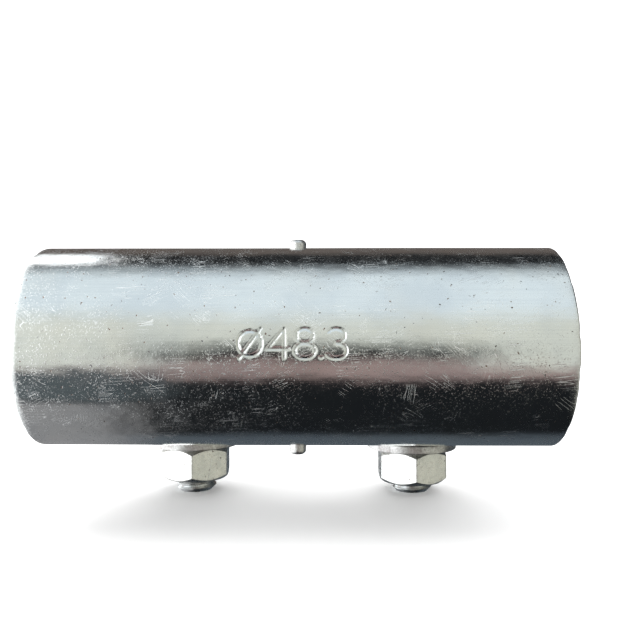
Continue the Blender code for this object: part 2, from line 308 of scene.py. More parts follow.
@dataclass
class Plate:
    """What the two pressed shells share: the round sleeve, the hinge and the way a sheet gets its wall."""

    length: float = 142 * MM
    mid_radius: float = 26.25 * MM
    half: float = 1.75 * MM
    hinge_angle: float = 46.0
    hinge_radius: float = 30.2 * MM
    eye_radius: float = 4.2 * MM
    eye_half: float = 1.4 * MM
    rounding: float = 0.5 * MM
    bolt_x: float = 37.3 * MM
    ear_half: float = 17 * MM
    slot_half: float = 7.75 * MM
    slot_y: float = 42 * MM
    wave: float = 0.07 * MM
    nick: float = 0.34 * MM

    def hinge(self) -> tuple[float, float]:
        """Hinge axis as (y, z)."""
        angle = math.radians(self.hinge_angle)
        return self.hinge_radius * math.cos(angle), self.hinge_radius * math.sin(angle)

    def sleeve(self, first: float, last: float) -> tuple:
        """An arc of the round sleeve between two angles in degrees."""
        return arc_points((0, 0), (self.mid_radius,) * 2, first, last, (self.half,) * 2)

    def eye_to_sleeve(self, first: float, last: float, leave: float) -> tuple:
        """The rolled eye, then the plate as it thickens and joins the sleeve.

        Args:
            first: Angle round the hinge at which the roll ends.
            last: Angle round the hinge at which it leaves for the sleeve.
            leave: Angle round the tube at which the plate has its full wall.

        Returns:
            y, z and half thickness of the stretch.
        """
        eye = arc_points(self.hinge(), (self.eye_radius,) * 2, first, last, (self.eye_half,) * 2)
        start = self.hinge_radius - self.eye_radius
        radii = (start, self.mid_radius)
        join = arc_points((0, 0), radii, self.hinge_angle, leave, (self.eye_half, self.half))
        return joined(eye, join)

    def ear_low(self) -> float:
        """Distance from the middle to the near side of an ear."""
        return self.bolt_x - self.ear_half

    def ear_high(self) -> float:
        """Distance from the middle to the far side of an ear."""
        return self.bolt_x + self.ear_half

    def near_bolt(self, x: np.ndarray, reach: float) -> np.ndarray:
        """Whether x lies within a reach of either bolt."""
        return np.abs(np.abs(x) - self.bolt_x) < reach

    def slot_lines(self) -> list[float]:
        """Columns of both slots: half width times the sine of even angles, and lines past the edge.

        Returns:
            The columns along X.
        """
        across = self.slot_half * np.sin(np.radians(np.linspace(-90, 90, 19)))
        past = self.slot_half + self.rounding * ROUNDING_STEPS[1:]
        row = np.concatenate([across, past, -past])
        return list(np.concatenate([row - self.bolt_x, row + self.bolt_x]))

    def slot_bend(self, x: np.ndarray, s: np.ndarray, from_s: float, seat_s: float) -> np.ndarray:
        """Bend the rows in front of a slot so that the last one follows its round seat.

        Args:
            x: Columns of the grid points.
            s: Rows of the grid points.
            from_s: Row from which the rows bend.
            seat_s: Row level with the bolt's axis.

        Returns:
            The rows bent: within the slot, the stretch is shortened by sqrt(half^2 - dx^2).
        """
        dx = np.abs(np.abs(x) - self.bolt_x)
        depth = np.sqrt(np.maximum(self.slot_half**2 - dx**2, 0))
        share = (s - from_s) / (seat_s - from_s)
        bent = from_s + share * (seat_s - depth - from_s)
        return np.where((dx < self.slot_half) & (s > from_s) & (s <= seat_s + 1e-9), bent, s)

    def slot_distance(self, x: np.ndarray, s: np.ndarray, seat_s: float) -> np.ndarray:
        """Distance to a slot: to its round seat in front, to its sides further back."""
        dx = np.abs(np.abs(x) - self.bolt_x)
        return np.where(s < seat_s, np.hypot(dx, s - seat_s), dx) - self.slot_half

    def ends_worn(self, x: np.ndarray, s: np.ndarray, seed: int) -> np.ndarray:
        """Draw the cut ends in: seeded narrow bells and a slow wave, fading over 3 mm from each end.

        Args:
            x: The grid along X.
            s: The grid down the sheet.
            seed: Which pattern of bells.

        Returns:
            The grid along X with its ends drawn in.
        """
        rng = np.random.default_rng(seed)
        places = rng.uniform(0, 215 * MM, 60)
        widths = rng.uniform(0.6, 2.2, 60) * MM
        depths = rng.uniform(0.2, 1.0, 60) ** 2
        bells = depths * np.exp(-(((s[..., None] + 40 * MM * (x[..., None] > 0)) - places) ** 2) / widths**2)
        pull = self.nick * (bells.max(axis=-1) + 0.25 * (1 + np.sin(s / (9 * MM) + np.sign(x))))
        fade = 1 - smooth((self.length / 2 - np.abs(x)) / (1.8 * MM))
        return x - np.sign(x) * pull * fade

    def sheet(self, x: np.ndarray, s: np.ndarray, path: tuple, away: np.ndarray, solid: np.ndarray,
              sunk: np.ndarray, mark: np.ndarray, seed: int) -> Mesh:
        """Give a sheet its wall: both faces stand off the mid-surface and rims close the open sides.

        The half thickness near an edge is h - r + sqrt(r^2 - (r - d)^2) for an edge d away.

        Args:
            x: Column of each grid point, columns by rows.
            s: Length along the section of each grid point.
            path: y, z, normal y, normal z and half thickness at each grid point.
            away: Distance of each grid point to the nearest edge.
            solid: Which cells are steel.
            sunk: How far the outer face is pressed in.
            mark: Share of the stamped mark's floor, which the finish paints darker as painted shade.
            seed: Seed of the worn ends.

        Returns:
            The closed plate.
        """
        y, z, ny, nz, half = path
        into_edge = np.maximum(self.rounding - away, 0)
        slack = self.rounding - np.sqrt(np.maximum(self.rounding**2 - into_edge**2, 0))
        bow = self.wave * (2 + np.sin(x / (11 * MM) + s / (17 * MM)) + np.sin(s / (7 * MM) - x / (23 * MM))) / 4
        worn_x = self.ends_worn(x, s, seed)
        outer = half - slack - sunk - bow
        inner = half - slack + bow * 0.5
        normal = np.stack([np.zeros_like(ny), ny, nz], axis=-1)
        middle = np.stack([worn_x, y, z], axis=-1)
        count = x.size
        points = np.concatenate([(middle + normal * outer[..., None]).reshape(-1, 3),
                                 (middle - normal * inner[..., None]).reshape(-1, 3)])
        index = np.arange(count).reshape(x.shape)
        a, b, c, d = index[:-1, :-1], index[1:, :-1], index[1:, 1:], index[:-1, 1:]
        skin = np.stack([a, b, c, d], axis=-1)[solid]
        padded = np.pad(solid, 1)
        blocks = [skin, skin[:, ::-1] + count]
        for near, first, second in (
            (padded[:-2, 1:-1], d, a), (padded[2:, 1:-1], b, c),
            (padded[1:-1, :-2], a, b), (padded[1:-1, 2:], c, d),
        ):
            open_side = solid & ~near
            p, q = first[open_side], second[open_side]
            blocks.append(np.stack([q, p, p + count, q + count], axis=-1))
        used = np.unique(np.concatenate([block.ravel() for block in blocks]))
        place = np.full(2 * count, -1)
        place[used] = np.arange(len(used))
        worn = 1 - smooth(away / (0.9 * MM))
        uv = np.stack([x.ravel(), s.ravel()], axis=-1)
        return Mesh(
            points[used],
            [place[block] for block in blocks],
            {
                "edge": np.tile(worn.ravel(), 2)[used],
                "mark": np.concatenate([mark.ravel(), 0 * mark.ravel()])[used],
            },
            np.tile(uv, (2, 1))[used],
        )


@dataclass(frozen=True)
class SizeMark:
    """A tube size stamped in plain strokes: a crossed ring, 48.3."""

    height: float = 7.5 * MM
    glyph: float = 5.3 * MM
    spacing: float = 1.35 * MM
    stroke: float = 0.34 * MM
    soft: float = 0.26 * MM
    depth: float = 0.22 * MM
    lift: float = 1.9 * MM

    def bow(
        self, centre: tuple[float, float], size: tuple[float, float], first: float, last: float
    ) -> np.ndarray:
        """Points of an elliptical arc between two angles in degrees."""
        angle = np.radians(np.linspace(first, last, 21))
        return np.stack([centre[0] + size[0] * np.cos(angle), centre[1] + size[1] * np.sin(angle)], axis=-1)

    def strokes(self) -> list[np.ndarray]:
        """Every stroke as a chain of points, centred on the mark's middle.

        Returns:
            The chains, each an array of points across and up.
        """
        w = self.glyph
        h = self.height
        step = w + self.spacing
        ring = 3.0 * MM
        left = -(2 * ring + 3 * w + 4 * self.spacing) / 2
        four = left + 2 * ring + self.spacing
        stem = four + w * 0.78
        eight = four + step
        dot = eight + step
        three = dot + self.spacing
        return [
            self.bow((left + ring, 0), (ring, h * 0.42), 0, 360),
            np.array([[left + 0.3 * MM, -h / 2], [left + 2 * ring - 0.3 * MM, h / 2]]),
            np.array([[stem, -h / 2], [stem, h / 2], [four, -h * 0.18], [four + w, -h * 0.18]]),
            self.bow((eight + w / 2, h * 0.26), (w * 0.4, h * 0.24), 0, 360),
            self.bow((eight + w / 2, -h * 0.24), (w * 0.48, h * 0.26), 0, 360),
            np.array([[dot - 0.2 * MM, -h * 0.47], [dot + 0.2 * MM, -h * 0.47]]),
            self.bow((three + w * 0.45, h * 0.26), (w * 0.42, h * 0.24), 150, -90),
            self.bow((three + w * 0.45, -h * 0.24), (w * 0.5, h * 0.26), 90, -150),
        ]

    def floor(self, across: np.ndarray, up: np.ndarray) -> np.ndarray:
        """Share of full depth: 1 within half a stroke of any chain, falling smoothly over the soft edge.

        Args:
            across: Points along the mark.
            up: Points up the mark.

        Returns:
            The share of full depth at each point.
        """
        nearest = np.full(across.shape, 1.0)
        for chain in self.strokes():
            for p, q in zip(chain[:-1], chain[1:]):
                along = q - p
                t = ((across - p[0]) * along[0] + (up - p[1]) * along[1]) / max(along @ along, 1e-12)
                t = np.clip(t, 0, 1)
                away = np.hypot(across - p[0] - t * along[0], up - p[1] - t * along[1])
                nearest = np.minimum(nearest, away)
        return 1 - smooth((nearest - self.stroke / 2) / self.soft)


@dataclass
class FrontShell(Plate):
    """The front pressing: eyes, round sleeve, stop holes, size mark and two slotted ears."""

    clear: float = 58.7
    joggle: float = 24 * MM
    drop: float = 2.6 * MM
    edge_y: float = 6.5 * MM
    end_y: float = 45.5 * MM
    hole: float = 2.7 * MM
    hole_reach: float = 6.0 * MM
    dish: float = 3.75 * MM
    dish_depth: float = 0.3 * MM
    mark: SizeMark = field(default_factory=SizeMark)

    def path(self) -> PlatePath:
        """Section from the eye over the top, down the front, along the bottom and out to the ear's end.

        Returns:
            The section.
        """
        y = np.linspace(0, self.end_y, 300)
        z = -self.mid_radius - self.drop * smooth(y / self.joggle)
        ear = (y, z, np.full(y.shape, self.half))
        start = self.eye_to_sleeve(510, 226, self.clear - 0.2)
        return PlatePath(*joined(start, self.sleeve(self.clear - 0.2, 270), ear), flip=1.0)

    def round_holes(self, x: np.ndarray, s: np.ndarray, centre: float) -> tuple:
        """Turn square rings of the grid into circles round a hole, fading out to the reach.

        Args:
            x: Columns.
            s: Rows.
            centre: Row of the hole's axis.

        Returns:
            The moved columns and rows: a point is scaled by max(|a|, |b|) / length(a, b) near the hole.
        """
        a, b = x, s - centre
        square = np.maximum(np.maximum(np.abs(a), np.abs(b)), 1e-9)
        ratio = square / np.maximum(np.hypot(a, b), 1e-9)
        fade = smooth((self.hole_reach - square) / (self.hole_reach - self.hole))
        scale = 1 + (ratio - 1) * fade
        return a * scale, b * scale + centre

    def build(self) -> bpy.types.Object:
        """Build the plate on a grid of columns along X and rows along the section.

        Returns:
            The finished object.
        """
        path = self.path()
        run = path.length()
        tail = (path.z < 0) & (path.y > 1e-9)
        bottom = float(run[tail][0] - path.y[tail][0])
        turn = self.mid_radius * math.radians(1)
        clear = bottom - (270 - self.clear) * turn
        top = bottom - 180 * turn
        middle = bottom - 90 * turn - self.mark.lift
        plain = float(np.interp(self.edge_y, path.y[tail], run[tail]))
        seat = float(np.interp(self.slot_y, path.y[tail], run[tail]))
        before = seat - 12 * MM
        end = float(run[-1])
        r = self.rounding

        half_length = self.length / 2
        fixed_x = inward(-half_length, 1, r) + inward(half_length, -1, r) + self.slot_lines()
        for sign in (-1, 1):
            fixed_x += inward(sign * 43 * MM, sign, r) + inward(sign * 14 * MM, -sign, r)
            fixed_x += inward(sign * self.ear_low(), sign, r) + inward(sign * self.ear_high(), -sign, r)
            fixed_x += [sign * (self.hole + r * step) for step in ROUNDING_STEPS]
        widths = [(-16.4 * MM, 16.4 * MM, 0.38 * MM), (-half_length, half_length, 2.4 * MM)]
        columns = lines(fixed_x, widths, 0.1 * MM)
        fixed_s = inward(0, 1, r) + inward(clear, 1, r) + inward(plain, -1, r) + inward(end, -1, r)
        fixed_s += [seat, before] + [seat - r * step for step in ROUNDING_STEPS]
        spans = [(0, clear, 0.9 * MM), (middle - 5.0 * MM, middle + 5.0 * MM, 0.3 * MM)]
        for hole in (top, bottom):
            for sign in (-1, 1):
                fixed_s += [hole + sign * (self.hole + r * step) for step in ROUNDING_STEPS]
            spans.append((hole - 4.2 * MM, hole + 4.2 * MM, 0.45 * MM))
            spans.append((hole - 6.2 * MM, hole + 6.2 * MM, 0.7 * MM))
        rows = lines(fixed_s, spans + [(clear, bottom, 1.4 * MM), (bottom, end, 2.0 * MM)], 0.1 * MM)

        x, s = np.meshgrid(columns, rows, indexing="ij")
        mid_x = (x[1:, 1:] + x[:-1, :-1]) / 2
        mid_s = (s[1:, 1:] + s[:-1, :-1]) / 2
        own = (np.abs(mid_x) > 43 * MM) | (np.abs(mid_x) < 14 * MM)
        ear = self.near_bolt(mid_x, self.ear_half)
        solid = (own | (mid_s > clear)) & (ear | (mid_s < plain))
        solid &= ~(self.near_bolt(mid_x, self.slot_half) & (mid_s > seat))
        for hole in (top, bottom):
            solid &= np.maximum(np.abs(mid_x), np.abs(mid_s - hole)) > self.hole

        s = self.slot_bend(x, s, before, seat)
        for hole in (top, bottom):
            x, s = self.round_holes(x, s, hole)
        away = np.minimum.reduce([
            half_length - np.abs(x), s, end - s, self.slot_distance(x, s, seat),
            outside_box(np.abs(x), s, (14 * MM, -1), (43 * MM, clear)),
            outside_box(x, s, (-self.ear_low(), plain), (self.ear_low(), 1)),
            outside_box(np.abs(x), s, (self.ear_high(), plain), (1, 1)),
            np.hypot(x, s - top) - self.hole, np.hypot(x, s - bottom) - self.hole,
        ])
        away = np.maximum(away, 0)
        ring = np.minimum(np.hypot(x, s - top), np.hypot(x, s - bottom))
        dished = self.dish_depth * smooth((self.dish - ring) / (self.dish - self.hole))
        floor = self.mark.floor(x, (middle - s) * (self.mid_radius + self.half) / self.mid_radius)
        floor = np.where(np.abs(s - middle) < 5.0 * MM, floor, 0)
        shell = self.sheet(x, s, path.at(s), away, solid, dished + self.mark.depth * floor, floor, 11)
        return shell.make("front_shell_pressing")


@dataclass
class RearShell(Plate):
    """The rear pressing: eyes, back of the sleeve, lobes, and two tabs bent out as slotted shelves."""

    clear: float = 33.3
    tab_start: float = 14.0
    lobe_end: float = -62.0
    bend: tuple[float, float, float] = (30.32 * MM, 7.56 * MM, 5.0 * MM)
    lip: tuple[float, float, float] = (48.05 * MM, 6.06 * MM, 3.5 * MM)
    lip_top: float = 11.06 * MM
    relief: float = 1.0 * MM

    def upper(self) -> tuple:
        """Eye and the back of the sleeve down to the tabs."""
        start = self.eye_to_sleeve(-58, 226, self.clear + 0.2)
        return joined(start, self.sleeve(self.clear + 0.2, self.tab_start))

    def lobe_path(self) -> PlatePath:
        """Section of a lobe: the sleeve's round goes on down."""
        return PlatePath(*joined(self.upper(), self.sleeve(self.tab_start, self.lobe_end)), flip=-1.0)

    def tab_path(self) -> PlatePath:
        """Section of a tab: out round the bend, along the shelf and up the lip.

        Returns:
            The section.
        """
        bend_y, bend_z, bend_r = self.bend
        lip_y, lip_z, lip_r = self.lip
        wall = (self.half,) * 2
        out = arc_points((bend_y, bend_z), (bend_r,) * 2, 180 + self.tab_start, 270, wall)
        shelf_y = np.linspace(bend_y, lip_y, 160)
        shelf_z = np.linspace(bend_z - bend_r, lip_z - lip_r, 160)
        up = arc_points((lip_y, lip_z), (lip_r,) * 2, -90, 0, wall)
        rise = np.linspace(lip_z, self.lip_top, 60)
        shelf = (shelf_y, shelf_z, np.full(160, self.half))
        stand = (np.full(60, lip_y + lip_r), rise, np.full(60, self.half))
        return PlatePath(*joined(self.upper(), out, shelf, up, stand), flip=-1.0)

    def build(self) -> bpy.types.Object:
        """Build the plate; the columns beside a bolt follow the tab's section and the others a lobe's.

        Returns:
            The finished object.
        """
        lobe = self.lobe_path()
        tab = self.tab_path()
        upper = self.upper()
        split = float(np.sum(np.hypot(np.diff(upper[0]), np.diff(upper[1]))))
        turn = self.mid_radius * math.radians(1)
        clear = split - (self.clear - self.tab_start) * turn
        lobe_length = float(lobe.length()[-1]) - split
        tab_length = float(tab.length()[-1]) - split
        flat = self.bend[2] * math.radians(90 - self.tab_start)
        seat = split + flat + self.slot_y - self.bend[0]
        before = seat - 10.5 * MM
        r = self.rounding

        half_length = self.length / 2
        fixed_x = inward(-half_length, 1, r) + inward(half_length, -1, r) + self.slot_lines()
        for sign in (-1, 1):
            fixed_x += inward(sign * 42.5 * MM, -sign, r) + inward(sign * 14.5 * MM, sign, r)
            fixed_x += inward(sign * self.ear_low(), sign, r) + inward(sign * self.ear_high(), -sign, r)
            fixed_x += inward(sign * (self.ear_low() - self.relief), -sign, r)
            fixed_x += inward(sign * (self.ear_high() + self.relief), sign, r)
        columns = lines(fixed_x, [(-half_length, half_length, 1.0 * MM)], 0.1 * MM)
        fixed_s = inward(0, 1, r) + inward(clear, 1, r) + [split, seat, before]
        fixed_s += inward(seat, -1, r) + inward(split + tab_length, -1, r)
        rows = lines(fixed_s, [(0, split + tab_length, 0.8 * MM)], 0.1 * MM)

        x, s = np.meshgrid(columns, rows, indexing="ij")
        mid_x = (x[1:, 1:] + x[:-1, :-1]) / 2
        mid_s = (s[1:, 1:] + s[:-1, :-1]) / 2
        own = (np.abs(mid_x) < 42.5 * MM) & (np.abs(mid_x) > 14.5 * MM)
        solid = own | (mid_s > clear)
        reach = self.ear_half + self.relief
        gap = self.near_bolt(mid_x, reach) & ~self.near_bolt(mid_x, self.ear_half)
        solid &= ~(gap & (mid_s > split))
        solid &= ~(self.near_bolt(mid_x, self.slot_half) & (mid_s > seat))

        on_tab = self.near_bolt(x, self.ear_half + 0.01 * MM)
        s = self.slot_bend(x, s, before, seat)
        lobe_s = np.where(s > split, split + (s - split) * lobe_length / tab_length, s)
        places = [np.where(on_tab, a, b) for a, b in zip(tab.at(s), lobe.at(lobe_s))]
        end = np.where(on_tab, split + tab_length - s, split + lobe_length - lobe_s)
        side = np.abs(np.abs(np.abs(x) - self.bolt_x) - np.where(on_tab, self.ear_half, reach))
        away = np.minimum.reduce([
            half_length - np.abs(x), s, end,
            np.where(s > seat - 20 * MM, self.slot_distance(x, s, seat), 1),
            np.where(s > split, side, np.hypot(side, s - split)),
            outside_box(x, s, (-14.5 * MM, -1), (14.5 * MM, clear)),
            outside_box(np.abs(x), s, (42.5 * MM, -1), (1, clear)),
        ])
        nothing = np.zeros_like(x)
        shell = self.sheet(x, np.where(on_tab, s, lobe_s), tuple(places), np.maximum(away, 0), solid,
                           nothing, nothing, 23)
        return shell.make("rear_shell_pressing")


@dataclass
class Turned:
    """Pieces turned from bar about one axis."""

    columns: int = 72

    def lathe(self, corners: list[tuple[float, float]], rounding: float, centre: tuple[float, float, float],
              axis: str = "Z", closed: bool = False) -> Mesh:
        """Turn a rounded profile: (r cos a, r sin a, h) for every profile point and column angle.

        Args:
            corners: (radius, height) corners of the profile.
            rounding: Rounding of its corners.
            centre: Where height 0 on the axis stands.
            axis: Z for an upright axis, X for one along the tubes.
            closed: True for a ring, whose profile is a loop.

        Returns:
            The closed surface.
        """
        profile, near = rounded_profile(corners, rounding, closed)
        angle = np.linspace(0, 2 * math.pi, self.columns, endpoint=False)
        r = profile[:, :1]
        across = r * np.cos(angle)
        deep = r * np.sin(angle)
        high = np.repeat(profile[:, 1:], self.columns, axis=1)
        order = (across, deep, high) if axis == "Z" else (high, across, deep)
        points = np.stack(order, axis=-1) + np.array(centre)
        edge = np.repeat(near[:, None], self.columns, axis=1)
        if closed:
            return ring_surface(points, edge, True)
        return ring_surface(points[1:-1], edge[1:-1], False)


@dataclass
class StopAndPin(Turned):
    """The upright centre stop and the hinge pin."""

    nib: float = 2.4 * MM
    body: float = 4.0 * MM
    shoulder: float = 23.87 * MM
    top: float = 30.4 * MM
    bottom: float = -30.9 * MM
    chamfer: float = 0.8 * MM
    pin_radius: float = 2.5 * MM
    pin_end: float = 70.6 * MM

    def stop(self) -> bpy.types.Object:
        """The stop: a nib, a shoulder, the body, a shoulder and a nib.

        Returns:
            The finished piece.
        """
        face = self.nib - self.chamfer
        corners = [
            (0, self.top), (face, self.top), (self.nib, self.top - self.chamfer), (self.nib, self.shoulder),
            (self.body, self.shoulder), (self.body, -self.shoulder), (self.nib, -self.shoulder),
            (self.nib, self.bottom + self.chamfer), (face, self.bottom), (0, self.bottom),
        ]
        return self.lathe(corners, 0.45 * MM, (0, 0, 0)).make("centre_stop_bar")

    def pin(self, hinge: tuple[float, float]) -> bpy.types.Object:
        """The pin, chamfered at both ends, along the hinge axis.

        Args:
            hinge: The hinge axis's Y and Z.

        Returns:
            The finished piece.
        """
        r = self.pin_radius
        e = self.pin_end
        corners = [(0, e), (r - 0.5 * MM, e), (r, e - 0.5 * MM), (r, 0.5 * MM - e), (r - 0.5 * MM, -e), (0, -e)]
        return self.lathe(corners, 0.15 * MM, (0, *hinge), axis="X").make("hinge_pin_bar")


@dataclass
class BoltSet(Turned):
    """One T-bolt with its washer and nut."""

    side: Side = Side.LEFT
    bolt_x: float = 37.3 * MM
    bolt_y: float = 42 * MM
    head_z: float = 11.51 * MM
    shank: float = 6.9 * MM
    pitch: float = 2.0 * MM
    thread_depth: float = 1.05 * MM
    nut_thread_depth: float = 0.75 * MM
    thread_top: float = -12.0 * MM
    end_z: float = -51.5 * MM
    head_half: float = 16.0 * MM
    head_flat: float = 4.5 * MM
    washer_top: float = -32.8 * MM
    washer_radius: float = 15.25 * MM
    washer_wall: float = 3.0 * MM
    bore: float = 7.2 * MM
    nut_top: float = -36.1 * MM
    nut_height: float = 11.0 * MM
    nut_flats: float = 11.0 * MM
    corner_turn: float = 4.0

    def centre(self, z: float) -> tuple[float, float, float]:
        """A point on the bolt's axis."""
        return (self.side.value * self.bolt_x, self.bolt_y, z)

    def thread(self, angle: np.ndarray, z: np.ndarray) -> np.ndarray:
        """Share of thread depth: a flattened zigzag of the turn z / pitch - angle / (2 pi)."""
        turn = (z / self.pitch - angle / (2 * math.pi)) % 1
        return np.clip(1.28 * (1 - np.abs(2 * turn - 1)) - 0.12, 0, 1)

    def bolt(self) -> bpy.types.Object:
        """The bolt: a threaded shank with a chamfered end, joined to a flat-topped cross bar.

        Returns:
            The finished object.
        """
        angle = np.linspace(0, 2 * math.pi, self.columns, endpoint=False)[None, :]
        threaded = np.linspace(self.end_z, self.thread_top, 237)
        z = np.concatenate([threaded, [self.thread_top + 4 * MM, self.head_z]])
        z = z[:, None] + 0 * angle
        worn = smooth((self.thread_top - z) / (1.5 * MM)) * smooth((z - self.end_z) / (0.6 * MM))
        cut = self.thread(angle, z)
        r = self.shank - self.thread_depth * cut * worn
        point = self.shank - 1.5 * MM + (z - self.end_z) * 1.0
        r = np.minimum(r, point)
        points = np.stack([r * np.cos(angle), r * np.sin(angle), z], axis=-1) + np.array(self.centre(0))
        rim = np.array([0.25, 0.6, 0.9])[:, None, None]
        cap = np.concatenate([points[:1, :, :2] * rim + np.array(self.centre(0)[:2]) * (1 - rim),
                              np.full((3, self.columns, 1), self.end_z)], axis=-1)
        edge = np.vstack([np.zeros((3, self.columns)), (1 - cut) * worn])
        surface = ring_surface(np.concatenate([cap, points]), edge, False)
        bolt = surface.make(f"t_bolt_{self.side.word}_threaded")
        head = self.cross_bar().make("cross_bar")
        join = bolt.modifiers.new("head", "BOOLEAN")
        join.operation = "UNION"
        join.solver = "EXACT"
        join.object = head
        ready = bolt.evaluated_get(bpy.context.evaluated_depsgraph_get())
        whole = bpy.data.meshes.new_from_object(ready)
        bolt.modifiers.clear()
        bolt.data = whole
        bpy.data.objects.remove(head, do_unlink=True)
        whole.set_sharp_from_angle(angle=math.radians(38))
        return bolt

    def cross_bar(self) -> Mesh:
        """Cross head: a bar of radius r cos-rounded at both ends, with heights above the flat cut to it.

        Returns:
            The closed bar.
        """
        share = np.linspace(-1, 1, 41)[:, None]
        along = np.sin(share * math.pi / 2) * self.head_half
        angle = np.linspace(0, 2 * math.pi, 64, endpoint=False)[None, :]
        past = np.maximum(np.abs(along) - (self.head_half - 1.2 * MM), 0) / (1.2 * MM)
        r = self.shank * 0.995 - 1.2 * MM * (1 - np.sqrt(np.maximum(1 - past**2, 0)))
        deep = r * np.cos(angle)
        high = r * np.sin(angle)
        flat = self.head_flat - 0.5 * (self.shank - r)
        high = np.where(high > flat, flat + 0.04 * (high - flat), high)
        x = along + 0 * angle
        points = np.stack([x, deep, high], axis=-1) + np.array(self.centre(self.head_z))
        edge = smooth(1 - np.abs(high - self.head_flat) / (0.8 * MM)) + smooth(past + 0 * angle)
        return ring_surface(points, edge, False)

    def washer(self) -> bpy.types.Object:
        """The washer: a ring with a rounded rim and a slightly sheared lower edge.

        Returns:
            The finished piece.
        """
        r = self.washer_radius
        w = self.washer_wall
        corners = [(self.bore, 0), (r - 0.5 * MM, 0), (r, -0.5 * MM), (r - 0.1 * MM, -w), (self.bore, -w)]
        ring = Turned(120).lathe(corners, 0.4 * MM, self.centre(self.washer_top), closed=True)
        return ring.make(f"washer_{self.side.word}_ring")

    def nut(self) -> bpy.types.Object:
        """The nut, one loop of rings: side, top chamfer, top, threaded bore, bottom, bottom chamfer.

        The side's radius is the soft least of six flats, flats / (sum of cos^p)^(1/p), and the chamfer is a
        cone of slope 0.8, whose curved line with the flats lies on a ring of its own.

        Returns:
            The finished object.
        """
        share = np.linspace(-1, 1, 20, endpoint=False)
        one_flat = 30 * np.sin(share * math.pi / 2)
        degrees = np.concatenate([one_flat + 60 * k for k in range(6)])
        flats = np.radians(degrees)[None, :]
        normals = np.radians(60 * np.arange(6))[:, None]
        cosines = np.maximum(np.cos(flats - normals), 0)
        side = self.nut_flats / (np.sum(cosines**110, axis=0) ** (1 / 110))
        turn = np.radians(degrees - 60 + self.corner_turn)
        half = self.nut_height / 2
        face = self.nut_flats * 0.95
        slope = 0.8
        shoulder = half - (side - face) * slope
        rings = []
        edges = []
        for t in np.concatenate([[-1, -0.985, -0.95], np.linspace(-0.85, 0.85, 9), [0.95, 0.985, 1]]):
            rings.append((side - 0.08 * MM * (abs(t) > 0.99), t * shoulder))
            edges.append(smooth((abs(t) - 0.9) * 10) * np.ones_like(side))
        for t in (0.15, 0.4, 0.7, 0.93, 1.0):
            rings.append((side + (face - side) * t, shoulder + (half - shoulder) * t))
            edges.append(np.full_like(side, 0.5))
        mouth = self.bore + 0.75 * MM
        for t in (0.04, 0.3, 0.6, 0.9):
            rings.append((face + (mouth - face) * t + 0 * side, half + 0 * side))
            edges.append(0 * side)
        upper = list(rings[15:])
        for z in np.linspace(1, -1, 81) * half:
            flare = max(0.0, abs(z) - half + 0.75 * MM)
            cut = self.thread(turn, self.centre(z)[2] + 0 * side)
            crest = self.bore - self.nut_thread_depth
            radius = np.maximum(crest + self.nut_thread_depth * cut, crest + 2 * flare)
            rings.append((radius, z + 0 * side))
            edges.append((1 - cut) * 0.6)
        for r, z in reversed(upper):
            rings.append((r, -z))
            edges.append(0.3 * np.ones_like(side))
        radius = np.array([r for r, _ in rings])
        height = np.array([z for _, z in rings])
        middle = np.array(self.centre(self.nut_top - half))
        points = np.stack([radius * np.cos(turn), radius * np.sin(turn), height], axis=-1) + middle
        corner = np.exp(-(((np.abs(degrees % 60 - 30)) / 2.2) ** 2))
        worn = np.maximum(np.array(edges), np.where(np.arange(len(rings))[:, None] < 15, corner, 0))
        return ring_surface(points, worn, True).make(f"nut_{self.side.word}_hexagon", 30)


